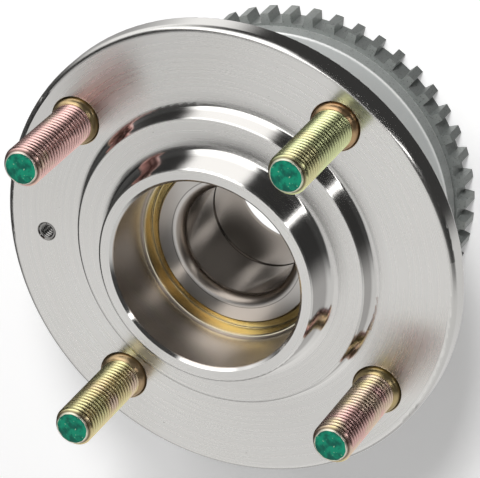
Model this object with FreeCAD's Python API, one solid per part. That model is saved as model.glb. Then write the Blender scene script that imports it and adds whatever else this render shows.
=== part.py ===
import FreeCAD, Part
import math
import os

# Rear wheel hub bearing unit, in millimetres.
# A flanged hub turns on a double row of angular contact balls. The two inner rings
# stay still on the axle spindle. A toothed speed sensor ring is pressed over the
# hub's inboard end, and four studs are pressed through its flange.
# +Z is the wheel's axis and points outboard, towards the wheel.
# The origin is on the axis, in the plane of the sensor ring's inboard end.

VECTOR = FreeCAD.Vector
AXIS = VECTOR(0, 0, 1)
ORIGIN = VECTOR(0, 0, 0)

# Fits and gaps
PRESS_GAP = 0.02        # radial, between parts that are pressed together
BALL_GAP = 0.05         # between a ball and its raceway along the contact line
POCKET_GAP = 0.25       # between a ball and its cage pocket
LIP_GAP = 0.08          # radial, between a seal lip and the surface it runs on
RUNNING_GAP = 0.25      # radial, between covers and what turns beside them

# Bearing: its bore, its outside and its length
SPINDLE_R = 17.0
OUTER_R = 36.0
OUTER_WIDTH = 37.0
INNER_OVERHANG = 3.0    # inner rings, past each end of the outer ring
INNER_WIDTH = OUTER_WIDTH / 2 + INNER_OVERHANG   # one inner ring, and the two stand end to end

# Balls and raceways
BALLS_PER_ROW = 13
BALL_SHARE = 0.58484    # ball diameter over the height of the ring section: a 7/16 inch ball
BALL_D = BALL_SHARE * (OUTER_R - SPINDLE_R)
BALL_R = BALL_D / 2
PITCH_SHIFT = 0.3       # ball circle, outside the middle of the ring section
PITCH_R = (SPINDLE_R + OUTER_R) / 2 + PITCH_SHIFT
SEAL_SPACE = 4.194      # from the balls to the end of the outer ring
ROW_OFFSET = OUTER_WIDTH / 2 - SEAL_SPACE - BALL_R
CONTACT_ANGLE = 36.0
GROOVE_RATIO = 0.52     # raceway radius over ball diameter
GROOVE_R = GROOVE_RATIO * BALL_D

# Ring and cage walls, in or out from the ball circle
INNER_SHOULDER_R = PITCH_R - 1.9
INNER_LAND_R = PITCH_R - 4.4
CAGE_INNER_R = PITCH_R - 1.2
CAGE_OUTER_R = PITCH_R + 1.7
OUTER_LAND_R = PITCH_R + 2.4
SEAL_SEAT_R = PITCH_R + 4.8
CASE_BORE_R = PITCH_R + 0.4
CAGE_BACK = 1.2         # wall behind a pocket
CAGE_PRONG = 1.8        # how far the prongs reach past the ball centres

# Edges of the rings
SPINDLE_CORNER_R = 3.2
SPINDLE_SHOULDER_R = 4.5  # inboard, to clear the root of the spindle's shoulder
EDGE_R = 0.5
SPLIT_CHAMFER = 0.45
OUTER_CHAMFER = 0.8

# Clip that holds the two inner rings together
CLIP_GROOVE_DEPTH = 1.0
CLIP_GROOVE_WIDTH = 1.4
CLIP_GROOVE_INSET = 1.6  # from the joint between the rings to the groove
CLIP_THICKNESS = 0.5
CLIP_GAP = 0.1
CLIP_SLOT = 3.0

# Seals at the two ends of the bearing
CASE_THICKNESS = 0.7
CASE_LENGTH = 1.5
CASE_INSET = 0.4        # outboard case, below the end of the outer ring
LIP_THICKNESS = 0.55
LIP_WIDTH = 1.5
LIP_STEP = 0.1          # rubber stands back this far from the edge of its case
SLINGER_THICKNESS = 0.6
SLINGER_INSET = 0.15    # slinger flange, inside the end of the outer ring
SLINGER_CLEARANCE = 0.4
SLINGER_TO_CASE = 0.4

# Hub: each radius follows from the bearing that the hub holds
BARREL_WALL = 6.0       # hub wall round the bearing
BARREL_R = OUTER_R + BARREL_WALL
BARREL_ROOT_R = 5.0
BARREL_LIP = 3.35       # hub wall left inboard of the retaining ring's groove
BARREL_MOUTH_CHAMFER = 0.8
DISC_PILOT_R = BARREL_R + 2.5
DISC_PILOT_HEIGHT = 5.15
DISC_PILOT_ROOT_R = 2.4
STUD_FROM_PILOT = 12.65  # stud centres, outside the disc pilot: a circle of 114.3
STUD_CIRCLE_R = DISC_PILOT_R + STUD_FROM_PILOT
STUD_TO_EDGE = 12.35    # from the stud centres to the flange's edge
FLANGE_R = STUD_CIRCLE_R + STUD_TO_EDGE
FLANGE_THICKNESS = 7.4
FLANGE_FACE_ABOVE_RING = 7.5   # flange face, outboard of the inner ring's face
FLANGE_EDGE_R = 1.8
FLANGE_BACK_EDGE_R = 1.0

# Shield seat, cap bore and wheel pilot, outwards from the inner ring
SHIELD_REACH = 3.4      # from the inner ring to the seat of the shield
SHIELD_SEAT_R = INNER_SHOULDER_R + SHIELD_REACH
CAP_BORE_R = SHIELD_SEAT_R + 0.5
CAP_BORE_CHAMFER = 0.9
CAP_BORE_FLOOR = 4.8    # ledge at the bottom of the cap bore, below the flange face
PILOT_WALL = 4.3
WHEEL_PILOT_R = CAP_BORE_R + PILOT_WALL
WHEEL_PILOT_HEIGHT = 14.5
WHEEL_PILOT_ROOT_R = 3.6
PILOT_EDGE_R = 0.6

# Retaining ring that holds the bearing in the hub
RETAINER_THICKNESS = 2.0
RETAINER_SLACK = 0.15
RETAINER_GROOVE_DEPTH = 1.9
RETAINER_WIDTH = 3.2
RETAINER_OPENING = 34.0  # degrees between the two lugs
RETAINER_LUG_R = 3.0
RETAINER_LUG_HOLE_R = 1.25

# Outboard dust shield, pressed in below the cap bore
SHIELD_THICKNESS = 0.75
SHIELD_SINK = 0.2       # its rim, below the ledge in the cap bore
SHIELD_DEPTH = 4.3
SHIELD_CONE_RISE = 1.3

# Wheel studs
STUD_COUNT = 4
STUD_FIRST_ANGLE = 45.0
STUD_R = 6.0
STUD_SHANK_R = 7.0
STUD_SHANK_ABOVE = 0.9
STUD_TAPER = 1.4
STUD_LENGTH = 33.85     # from the flange face to the tip
STUD_TIP_R = 4.7
STUD_TIP_CHAMFER = 1.3
STUD_HEAD_R = 9.3
STUD_HEAD_THICKNESS = 4.0
STUD_HOLE_CHAMFER = 0.5

# Tapped hole for the brake disc's screw
SCREW_HOLE_ANGLE = 174.7
SCREW_CORE_R = 2.5
SCREW_COUNTERSINK = 0.3

# Toothed sensor ring, outwards from its seat on the hub
SENSOR_SEAT_R = BARREL_R - 1.0
SENSOR_RECESS_R = SENSOR_SEAT_R + 5.2
COLLAR_R = SENSOR_SEAT_R + 9.2
COLLAR_LENGTH = 5.5
COLLAR_EDGE_R = 0.7
COLLAR_GROOVE_WIDTH = 2.4
COLLAR_GROOVE_DEPTH = 1.6
TOOTH_COUNT = 47
TOOTH_PHASE = 0.8
TOOTH_ROOT_R = COLLAR_R - 0.3
TOOTH_HEIGHT = 2.8
TOOTH_TIP_R = TOOTH_ROOT_R + TOOTH_HEIGHT
TOOTH_LENGTH = 7.0
TOOTH_TIP_WIDTH = 2.5
TOOTH_ROOT_WIDTH = 3.1
SENSOR_WEB = 8.9        # length of the seat on the hub
RING_OVERHANG = 8.6     # sensor ring, past the inner ring's inboard face

# Heights that follow from the sizes above
SENSOR_TOP = TOOTH_LENGTH + COLLAR_GROOVE_WIDTH + COLLAR_LENGTH
BEARING_MIDDLE = RING_OVERHANG + INNER_WIDTH
OUTER_BOTTOM = BEARING_MIDDLE - OUTER_WIDTH / 2
OUTER_TOP = BEARING_MIDDLE + OUTER_WIDTH / 2
FLANGE_FACE = BEARING_MIDDLE + INNER_WIDTH + FLANGE_FACE_ABOVE_RING
FLANGE_BACK = FLANGE_FACE - FLANGE_THICKNESS
RETAINER_TOP = OUTER_BOTTOM
RETAINER_BOTTOM = RETAINER_TOP - RETAINER_THICKNESS
BARREL_END = RETAINER_BOTTOM - RETAINER_SLACK - BARREL_LIP


def point(r, z):
    return VECTOR(r, 0, z)


def at_angle(r, degrees, z=0.0):
    return VECTOR(r * math.cos(math.radians(degrees)), r * math.sin(math.radians(degrees)), z)


def outline(corners):
    """A closed wire through (r, z) corners. A third number rounds that corner."""
    edges = []
    ends = []
    for i, corner in enumerate(corners):
        here = point(corner[0], corner[1])
        before = point(*corners[i - 1][:2]) - here
        after = point(*corners[(i + 1) % len(corners)][:2]) - here
        radius = corner[2] if len(corner) == 3 else 0.0
        if radius == 0.0:
            ends.append((here, here))
            continue
        before.normalize()
        after.normalize()
        half = before.getAngle(after) / 2
        middle = before + after
        middle.normalize()
        start = here + before * (radius / math.tan(half))
        end = here + after * (radius / math.tan(half))
        crown = here + middle * (radius / math.sin(half) - radius)
        edges.append(Part.Arc(start, crown, end).toShape())
        ends.append((start, end))
    for i, (start, end) in enumerate(ends):
        previous_end = ends[i - 1][1]
        if previous_end.distanceToPoint(start) > 1e-6:
            edges.append(Part.LineSegment(previous_end, start).toShape())
    return Part.Wire(Part.__sortEdges__(edges))


def turned(corners):
    """A ring or shaft turned about the axis from its half section."""
    return Part.Face(outline(corners)).revolve(ORIGIN, AXIS, 360)


def upright(r, bottom, top, x=0.0, y=0.0):
    return Part.makeCylinder(r, top - bottom, VECTOR(x, y, bottom))


def cone(r_bottom, r_top, bottom, top, x=0.0, y=0.0):
    return Part.makeCone(r_bottom, r_top, top - bottom, VECTOR(x, y, bottom))


def turned_about_axis(shape, degrees):
    copy = shape.copy()
    copy.rotate(ORIGIN, AXIS, degrees)
    return copy


def stud_angle(index):
    return STUD_FIRST_ANGLE + index * 360.0 / STUD_COUNT


def row_height(side):
    """Height of a ball row: side is +1 outboard and -1 inboard."""
    return BEARING_MIDDLE + side * ROW_OFFSET


def from_middle(side, offset):
    return BEARING_MIDDLE + side * offset


def raceway(side, outer):
    """The torus that the balls of one row run in, on the outer or the inner ring."""
    slope = math.radians(CONTACT_ANGLE)
    shift = GROOVE_R - BALL_R - BALL_GAP
    sign = 1 if outer else -1
    groove_pitch = PITCH_R - sign * shift * math.cos(slope)
    height = row_height(side) + sign * side * shift * math.sin(slope)
    return Part.makeTorus(groove_pitch, GROOVE_R, VECTOR(0, 0, height), AXIS)


def hub_body():
    """Flange, wheel and disc pilots, and the barrel that holds the bearing."""
    pilot_top = FLANGE_FACE + WHEEL_PILOT_HEIGHT
    step_top = FLANGE_FACE + DISC_PILOT_HEIGHT
    groove_r = OUTER_R + RETAINER_GROOVE_DEPTH
    groove_bottom = RETAINER_BOTTOM - RETAINER_SLACK
    bearing_bore_r = OUTER_R + PRESS_GAP
    return turned([
        (SHIELD_SEAT_R, OUTER_TOP),
        (SHIELD_SEAT_R, FLANGE_FACE - CAP_BORE_FLOOR),
        (CAP_BORE_R, FLANGE_FACE - CAP_BORE_FLOOR),
        (CAP_BORE_R, pilot_top - CAP_BORE_CHAMFER),
        (CAP_BORE_R + CAP_BORE_CHAMFER, pilot_top),
        (WHEEL_PILOT_R, pilot_top, PILOT_EDGE_R),
        (WHEEL_PILOT_R, step_top, WHEEL_PILOT_ROOT_R),
        (DISC_PILOT_R, step_top, PILOT_EDGE_R),
        (DISC_PILOT_R, FLANGE_FACE, DISC_PILOT_ROOT_R),
        (FLANGE_R, FLANGE_FACE, FLANGE_EDGE_R),
        (FLANGE_R, FLANGE_BACK, FLANGE_BACK_EDGE_R),
        (BARREL_R, FLANGE_BACK, BARREL_ROOT_R),
        (BARREL_R, SENSOR_TOP),
        (SENSOR_SEAT_R, SENSOR_TOP),
        (SENSOR_SEAT_R, BARREL_END + BARREL_MOUTH_CHAMFER),
        (SENSOR_SEAT_R - BARREL_MOUTH_CHAMFER, BARREL_END),
        (bearing_bore_r + BARREL_MOUTH_CHAMFER, BARREL_END),
        (bearing_bore_r, BARREL_END + BARREL_MOUTH_CHAMFER),
        (bearing_bore_r, groove_bottom),
        (groove_r, groove_bottom),
        (groove_r, RETAINER_TOP),
        (bearing_bore_r, RETAINER_TOP),
        (bearing_bore_r, OUTER_TOP),
    ])


def stud_hole(index):
    centre = at_angle(STUD_CIRCLE_R, stud_angle(index))
    hole_r = STUD_SHANK_R + PRESS_GAP
    hole = upright(hole_r, FLANGE_BACK, FLANGE_FACE, centre.x, centre.y)
    mouth = cone(hole_r, hole_r + STUD_HOLE_CHAMFER, FLANGE_FACE - STUD_HOLE_CHAMFER,
                 FLANGE_FACE, centre.x, centre.y)
    return [hole, mouth]


def screw_hole():
    """Core hole of the disc screw's thread, countersunk at both faces."""
    centre = at_angle(STUD_CIRCLE_R, SCREW_HOLE_ANGLE)
    wide_r = SCREW_CORE_R + SCREW_COUNTERSINK
    core = upright(SCREW_CORE_R, FLANGE_BACK, FLANGE_FACE, centre.x, centre.y)
    top = cone(SCREW_CORE_R, wide_r, FLANGE_FACE - SCREW_COUNTERSINK, FLANGE_FACE,
               centre.x, centre.y)
    bottom = cone(wide_r, SCREW_CORE_R, FLANGE_BACK, FLANGE_BACK + SCREW_COUNTERSINK,
                  centre.x, centre.y)
    return [core, top, bottom]


def hub_flange():
    cuts = screw_hole()
    for index in range(STUD_COUNT):
        cuts += stud_hole(index)
    return hub_body().cut(cuts)


def wheel_stud(index):
    """Headed stud: its shank stands a little proud of the flange, then tapers to the thread."""
    tip = FLANGE_FACE + STUD_LENGTH
    shank_top = FLANGE_FACE + STUD_SHANK_ABOVE
    stud = turned([
        (0, FLANGE_BACK - STUD_HEAD_THICKNESS),
        (STUD_HEAD_R, FLANGE_BACK - STUD_HEAD_THICKNESS, PILOT_EDGE_R),
        (STUD_HEAD_R, FLANGE_BACK),
        (STUD_SHANK_R, FLANGE_BACK),
        (STUD_SHANK_R, shank_top, EDGE_R),
        (STUD_R, shank_top + STUD_TAPER),
        (STUD_R, tip - STUD_TIP_CHAMFER),
        (STUD_TIP_R, tip),
        (0, tip),
    ])
    stud.translate(at_angle(STUD_CIRCLE_R, stud_angle(index)))
    return stud


def tooth_gap():
    """The space between two teeth: narrower at its floor than at the tips."""
    pitch = 360.0 / TOOTH_COUNT
    beyond_r = TOOTH_TIP_R + TOOTH_HEIGHT
    tip_half = math.degrees(TOOTH_TIP_WIDTH / 2 / TOOTH_TIP_R)
    root_half = math.degrees(TOOTH_ROOT_WIDTH / 2 / TOOTH_ROOT_R)
    beyond_half = 2 * tip_half - root_half
    bottom = -COLLAR_GROOVE_WIDTH / 2
    low = at_angle(TOOTH_ROOT_R, root_half, bottom)
    low_middle = at_angle(TOOTH_ROOT_R, pitch / 2, bottom)
    low_end = at_angle(TOOTH_ROOT_R, pitch - root_half, bottom)
    high = at_angle(beyond_r, beyond_half, bottom)
    high_end = at_angle(beyond_r, pitch - beyond_half, bottom)
    edges = [
        Part.Arc(low, low_middle, low_end).toShape(),
        Part.LineSegment(low_end, high_end).toShape(),
        Part.LineSegment(high_end, high).toShape(),
        Part.LineSegment(high, low).toShape(),
    ]
    length = TOOTH_LENGTH + COLLAR_GROOVE_WIDTH
    gap = Part.Face(Part.Wire(edges)).extrude(AXIS * length)
    return turned_about_axis(gap, TOOTH_PHASE)


def tone_ring():
    """Speed sensor ring: a web and collar pressed on the hub, then a crown of square teeth."""
    web_bottom = SENSOR_TOP - SENSOR_WEB
    seat_r = SENSOR_SEAT_R + PRESS_GAP
    blank = turned([
        (seat_r, web_bottom),
        (seat_r, SENSOR_TOP),
        (COLLAR_R, SENSOR_TOP, COLLAR_EDGE_R),
        (COLLAR_R, SENSOR_TOP - COLLAR_LENGTH, COLLAR_EDGE_R),
        (COLLAR_R - COLLAR_GROOVE_DEPTH, SENSOR_TOP - COLLAR_LENGTH),
        (COLLAR_R - COLLAR_GROOVE_DEPTH, TOOTH_LENGTH),
        (TOOTH_TIP_R, TOOTH_LENGTH),
        (TOOTH_TIP_R, 0),
        (SENSOR_RECESS_R, 0, EDGE_R),
        (SENSOR_RECESS_R, web_bottom, 2 * EDGE_R),
    ])
    gap = tooth_gap()
    pitch = 360.0 / TOOTH_COUNT
    return blank.cut([turned_about_axis(gap, i * pitch) for i in range(TOOTH_COUNT)])


def bearing_outer_ring():
    """Outer race: a high land between the rows, and open seal seats at both ends."""
    blank = turned([
        (SEAL_SEAT_R, OUTER_BOTTOM),
        (OUTER_R, OUTER_BOTTOM, OUTER_CHAMFER),
        (OUTER_R, OUTER_TOP, OUTER_CHAMFER),
        (SEAL_SEAT_R, OUTER_TOP),
        (SEAL_SEAT_R, row_height(1)),
        (OUTER_LAND_R, row_height(1)),
        (OUTER_LAND_R, row_height(-1)),
        (SEAL_SEAT_R, row_height(-1)),
    ])
    return blank.cut([raceway(1, True), raceway(-1, True)])


def inner_ring(side):
    """One inner race: a high shoulder at the outer end and a low land at the joint."""
    groove_floor_r = INNER_LAND_R - CLIP_GROOVE_DEPTH
    end = from_middle(side, INNER_WIDTH)
    groove_near = from_middle(side, CLIP_GROOVE_INSET)
    groove_far = from_middle(side, CLIP_GROOVE_INSET + CLIP_GROOVE_WIDTH)
    bore_corner_r = SPINDLE_CORNER_R if side > 0 else SPINDLE_SHOULDER_R
    blank = turned([
        (SPINDLE_R, from_middle(side, SPLIT_CHAMFER)),
        (SPINDLE_R, end, bore_corner_r),
        (INNER_SHOULDER_R, end, EDGE_R),
        (INNER_SHOULDER_R, row_height(side)),
        (INNER_LAND_R, row_height(side)),
        (INNER_LAND_R, groove_far),
        (groove_floor_r, groove_far),
        (groove_floor_r, groove_near),
        (INNER_LAND_R, groove_near),
        (INNER_LAND_R, BEARING_MIDDLE),
        (SPINDLE_R + SPLIT_CHAMFER, BEARING_MIDDLE),
    ])
    return blank.cut(raceway(side, False))


def inner_ring_clip():
    """Split spring band whose hooks reach into both inner rings and hold them together."""
    band_r = INNER_LAND_R + CLIP_GAP
    hook_r = INNER_LAND_R - CLIP_GROOVE_DEPTH + 2 * CLIP_GAP
    hook_inner = CLIP_GROOVE_INSET + CLIP_GAP
    hook_outer = CLIP_GROOVE_INSET + CLIP_GROOVE_WIDTH - CLIP_GAP
    band = turned([
        (hook_r, from_middle(1, hook_outer)),
        (band_r + CLIP_THICKNESS, from_middle(1, hook_outer)),
        (band_r + CLIP_THICKNESS, from_middle(-1, hook_outer)),
        (hook_r, from_middle(-1, hook_outer)),
        (hook_r, from_middle(-1, hook_inner)),
        (band_r, from_middle(-1, hook_inner)),
        (band_r, from_middle(1, hook_inner)),
        (hook_r, from_middle(1, hook_inner)),
    ])
    slot = Part.makeBox(OUTER_R, CLIP_SLOT, INNER_WIDTH,
                        VECTOR(0, -CLIP_SLOT / 2, BEARING_MIDDLE - INNER_WIDTH / 2))
    return band.cut(slot)


def ball_angle(side, index):
    """The inboard row stands half a pitch round from the outboard row."""
    stagger = 0.0 if side > 0 else 0.5
    return (index + stagger) * 360.0 / BALLS_PER_ROW


def ball(side, index, radius=BALL_R):
    return Part.makeSphere(radius, at_angle(PITCH_R, ball_angle(side, index), row_height(side)))


def ball_cage(side):
    """Snap cage: a ring behind the balls with prongs that close round each of them."""
    back = ROW_OFFSET + BALL_R + POCKET_GAP + CAGE_BACK
    front = ROW_OFFSET - CAGE_PRONG
    blank = turned([
        (CAGE_INNER_R, from_middle(side, front)),
        (CAGE_OUTER_R, from_middle(side, front)),
        (CAGE_OUTER_R, from_middle(side, back)),
        (CAGE_INNER_R, from_middle(side, back)),
    ])
    pockets = [ball(side, i, BALL_R + POCKET_GAP) for i in range(BALLS_PER_ROW)]
    return blank.cut(pockets)


def case_face(side):
    """Distance from the bearing's middle to a seal case's outer face."""
    half = OUTER_WIDTH / 2
    if side > 0:
        return half - CASE_INSET
    return half - SLINGER_INSET - SLINGER_THICKNESS - SLINGER_TO_CASE


def lip_track_r(side):
    """Radius that a seal lip runs on: the ring outboard, and the slinger's sleeve inboard."""
    return INNER_SHOULDER_R + (0 if side > 0 else PRESS_GAP + SLINGER_THICKNESS)


def seal_case(side):
    """Pressed steel case: a short wall in the outer ring and a flange that faces inwards."""
    face = case_face(side)
    wall_r = SEAL_SEAT_R - PRESS_GAP
    return turned([
        (CASE_BORE_R, from_middle(side, face)),
        (wall_r, from_middle(side, face)),
        (wall_r, from_middle(side, face - CASE_LENGTH)),
        (wall_r - CASE_THICKNESS, from_middle(side, face - CASE_LENGTH)),
        (wall_r - CASE_THICKNESS, from_middle(side, face - CASE_THICKNESS)),
        (CASE_BORE_R, from_middle(side, face - CASE_THICKNESS)),
    ])


def seal_lip(side):
    """Rubber on the inner face of the case, thick at the edge that runs on the track."""
    face = case_face(side)
    bore_r = lip_track_r(side) + LIP_GAP
    wall_r = SEAL_SEAT_R - CASE_THICKNESS - 2 * PRESS_GAP
    bond = face - CASE_THICKNESS
    return turned([
        (bore_r, from_middle(side, face)),
        (bore_r + LIP_WIDTH, from_middle(side, face)),
        (CASE_BORE_R - LIP_STEP, from_middle(side, bond)),
        (wall_r, from_middle(side, bond)),
        (wall_r, from_middle(side, bond - LIP_THICKNESS)),
        (bore_r + LIP_WIDTH / 2, from_middle(side, bond - LIP_THICKNESS)),
        (bore_r, from_middle(side, bond)),
    ])


def inboard_slinger():
    """Pressed on the inboard inner ring: it throws water off before it meets the seal."""
    bore_r = INNER_SHOULDER_R + PRESS_GAP
    face = OUTER_WIDTH / 2 - SLINGER_INSET
    rim_r = SEAL_SEAT_R - SLINGER_CLEARANCE
    return turned([
        (bore_r, from_middle(-1, face)),
        (rim_r, from_middle(-1, face)),
        (rim_r, from_middle(-1, face - SLINGER_THICKNESS)),
        (bore_r + SLINGER_THICKNESS, from_middle(-1, face - SLINGER_THICKNESS)),
        (bore_r + SLINGER_THICKNESS, from_middle(-1, case_face(-1) - CASE_LENGTH)),
        (bore_r, from_middle(-1, case_face(-1) - CASE_LENGTH)),
    ])


def outboard_shield():
    """Plated dust shield: a rim pressed in the hub and a cone that ends beside the inner ring."""
    rim_r = SHIELD_SEAT_R - PRESS_GAP
    inner_r = rim_r - SHIELD_THICKNESS
    edge_r = INNER_SHOULDER_R + RUNNING_GAP
    top = FLANGE_FACE - CAP_BORE_FLOOR - SHIELD_SINK
    floor = top - SHIELD_DEPTH
    return turned([
        (rim_r, floor - SHIELD_THICKNESS, SHIELD_THICKNESS),
        (rim_r, top),
        (inner_r, top),
        (inner_r, floor, SHIELD_THICKNESS / 2),
        (edge_r, floor + SHIELD_CONE_RISE),
        (edge_r, floor + SHIELD_CONE_RISE - SHIELD_THICKNESS),
    ])


def retaining_ring():
    """Spring ring in the hub's groove: it opens between two lugs with plier holes."""
    outer_r = OUTER_R + RETAINER_GROOVE_DEPTH - PRESS_GAP
    inner_r = outer_r - RETAINER_WIDTH
    ring = turned([
        (inner_r, RETAINER_BOTTOM),
        (outer_r, RETAINER_BOTTOM),
        (outer_r, RETAINER_TOP),
        (inner_r, RETAINER_TOP),
    ])
    half = math.radians(RETAINER_OPENING / 2)
    far = 2 * outer_r
    wedge = Part.makePolygon([
        VECTOR(0, 0, RETAINER_BOTTOM),
        VECTOR(far * math.cos(half), far * math.sin(half), RETAINER_BOTTOM),
        VECTOR(far * math.cos(half), -far * math.sin(half), RETAINER_BOTTOM),
        VECTOR(0, 0, RETAINER_BOTTOM),
    ])
    opening = Part.Face(wedge).extrude(AXIS * RETAINER_THICKNESS)
    lug_r = outer_r - RETAINER_LUG_R
    lug_turn = RETAINER_OPENING / 2 + math.degrees(RETAINER_LUG_R / lug_r) / 2
    lugs = []
    holes = []
    for turn in (lug_turn, -lug_turn):
        centre = at_angle(lug_r, turn)
        lugs.append(upright(RETAINER_LUG_R, RETAINER_BOTTOM, RETAINER_TOP, centre.x, centre.y))
        holes.append(upright(RETAINER_LUG_HOLE_R, RETAINER_BOTTOM, RETAINER_TOP,
                             centre.x, centre.y))
    return ring.cut(opening).fuse(lugs).cut(holes).removeSplitter()


def all_parts():
    parts = {
        "hub_flange": hub_flange(),
        "tone_ring": tone_ring(),
        "bearing_outer_ring": bearing_outer_ring(),
        "retaining_ring": retaining_ring(),
        "outboard_shield": outboard_shield(),
        "inner_ring_clip": inner_ring_clip(),
        "inboard_slinger": inboard_slinger(),
    }
    for index in range(STUD_COUNT):
        parts["wheel_stud_%d" % (index + 1)] = wheel_stud(index)
    for name, side in (("outboard", 1), ("inboard", -1)):
        parts["inner_ring_%s" % name] = inner_ring(side)
        parts["ball_cage_%s" % name] = ball_cage(side)
        parts["seal_case_%s" % name] = seal_case(side)
        parts["seal_lip_%s" % name] = seal_lip(side)
        for index in range(BALLS_PER_ROW):
            parts["ball_%s_%02d" % (name, index + 1)] = ball(side, index)
    return parts


def main():
    os.makedirs("parts", exist_ok=True)
    for name, shape in all_parts().items():
        solids = shape.Solids
        solid = solids[0] if len(solids) == 1 else Part.makeCompound(solids)
        solid.exportStep("parts/%s.step" % name)
        print(name, len(solids), round(shape.Volume, 2), shape.isValid())


main()
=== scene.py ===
# %% [markdown]
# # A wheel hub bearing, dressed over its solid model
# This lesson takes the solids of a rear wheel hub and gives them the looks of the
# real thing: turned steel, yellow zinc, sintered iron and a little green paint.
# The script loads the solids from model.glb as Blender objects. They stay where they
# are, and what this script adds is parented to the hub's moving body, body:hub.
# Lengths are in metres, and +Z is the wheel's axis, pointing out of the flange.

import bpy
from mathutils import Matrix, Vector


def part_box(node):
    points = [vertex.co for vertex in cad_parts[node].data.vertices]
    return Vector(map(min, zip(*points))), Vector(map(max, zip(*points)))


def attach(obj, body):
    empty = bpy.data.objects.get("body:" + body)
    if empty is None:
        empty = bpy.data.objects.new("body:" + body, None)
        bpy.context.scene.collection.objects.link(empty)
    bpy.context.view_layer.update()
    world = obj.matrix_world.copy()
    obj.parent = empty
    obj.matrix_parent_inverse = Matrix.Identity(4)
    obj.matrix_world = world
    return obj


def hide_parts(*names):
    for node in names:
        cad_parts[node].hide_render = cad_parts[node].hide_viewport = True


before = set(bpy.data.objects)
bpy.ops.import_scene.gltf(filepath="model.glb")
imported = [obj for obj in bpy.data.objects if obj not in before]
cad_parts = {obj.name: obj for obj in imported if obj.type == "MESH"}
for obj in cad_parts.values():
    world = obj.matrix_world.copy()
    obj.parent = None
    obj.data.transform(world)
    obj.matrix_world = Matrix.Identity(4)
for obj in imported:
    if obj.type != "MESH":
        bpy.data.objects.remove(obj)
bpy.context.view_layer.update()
print("nodes:", len(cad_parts))

# %% [markdown]
# ## Tools
# bmesh builds a mesh corner by corner, and mathutils brings vectors and matrices. A
# maker reads the sizes of such a part in millimetres, so they are written as
# 14.5 * MM: the drawing's number stays in sight, and Blender still gets metres.

# %% Tools
import math
import random
from collections import namedtuple

import bmesh
import bpy
from mathutils import Matrix, Vector

MM = 0.001
scene = bpy.context.scene
print("a millimetre is", MM, "m")

# %% [markdown]
# ## Where the parts are
# Everything that is added has to sit on a solid, so its height is read from that
# solid and not typed in again. A stud's box gives its centre, its tip and its head.
# The flange carries two steps: a low, wide one that centres the brake disc, and a
# tall, narrow one that centres the wheel. Their sizes are those of the solid.

# %% Places read from the solids
STUDS = ["wheel_stud_%d" % number for number in (1, 2, 3, 4)]
WHEEL_PILOT_R = 33.1 * MM
WHEEL_PILOT_HEIGHT = 14.5 * MM
DISC_PILOT_R = 44.5 * MM
DISC_PILOT_HEIGHT = 5.15 * MM
FLANGE_THICKNESS = 7.4 * MM

STUD_LOW, STUD_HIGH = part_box(STUDS[0])
STUD_TIP = STUD_HIGH.z
STUD_HEAD = STUD_LOW.z
PILOT_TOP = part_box("hub_flange")[1].z
FLANGE_FACE = PILOT_TOP - WHEEL_PILOT_HEIGHT
FLANGE_BACK = FLANGE_FACE - FLANGE_THICKNESS
print("flange face at", round(FLANGE_FACE / MM, 2), "mm")
print("stud from", round(STUD_HEAD / MM, 2), "to", round(STUD_TIP / MM, 2), "mm")

# %% [markdown]
# ## Camera
# The photograph was taken from far away with a long lens, so near and far studs look
# almost the same size. The camera stands almost a metre off, 54 degrees above the
# flange, and rolled, so that the studs point down to the left.

# %% Camera
CAMERA_PLACE = Vector((429.44, 383.57, 842.10)) * MM
CAMERA_RIGHT = Vector((0.898173, -0.156382, -0.410889))
CAMERA_UP = Vector((-0.034149, 0.906960, -0.419831))
LENS = 257.7
SENSOR_WIDTH = 36.0

camera_data = bpy.data.cameras.new("camera")
camera_data.lens = LENS
camera_data.sensor_width = SENSOR_WIDTH
camera_data.clip_start = 0.1
camera_data.clip_end = 50.0
camera = bpy.data.objects.new("camera", camera_data)
scene.collection.objects.link(camera)
camera_axes = Matrix((CAMERA_RIGHT, CAMERA_UP, CAMERA_RIGHT.cross(CAMERA_UP)))
camera.matrix_world = Matrix.Translation(CAMERA_PLACE) @ camera_axes.transposed().to_4x4()
scene.camera = camera
camera_azimuth = math.degrees(math.atan2(CAMERA_PLACE.y, CAMERA_PLACE.x))
print("camera azimuth", round(camera_azimuth, 1), "degrees")

# %% [markdown]
# ## Shader maths that reads like maths
# A material is a graph of nodes. Wiring each Math node by hand hides what the graph
# says, so this small class wraps an output socket. Adding two of them adds a Math
# node, and 1 - mask works too.

# %% Wires
class Wire:
    """An output socket that can stand in a Python expression."""

    def __init__(self, graph, socket):
        self.graph = graph
        self.socket = socket

    def __add__(self, other):
        return self.graph.math("ADD", self, other)

    def __radd__(self, other):
        return self.graph.math("ADD", other, self)

    def __sub__(self, other):
        return self.graph.math("SUBTRACT", self, other)

    def __rsub__(self, other):
        return self.graph.math("SUBTRACT", other, self)

    def __mul__(self, other):
        return self.graph.math("MULTIPLY", self, other)

    def __rmul__(self, other):
        return self.graph.math("MULTIPLY", other, self)


print("a wire can be added, subtracted and multiplied")

# %% [markdown]
# ## One method for every node
# Each node has a type, some settings and sockets that take a value or a link. One
# method covers them all, and the others here are short names for what is used most:
# a soft step, a band with soft edges, a mix of two colours, noise.

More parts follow.
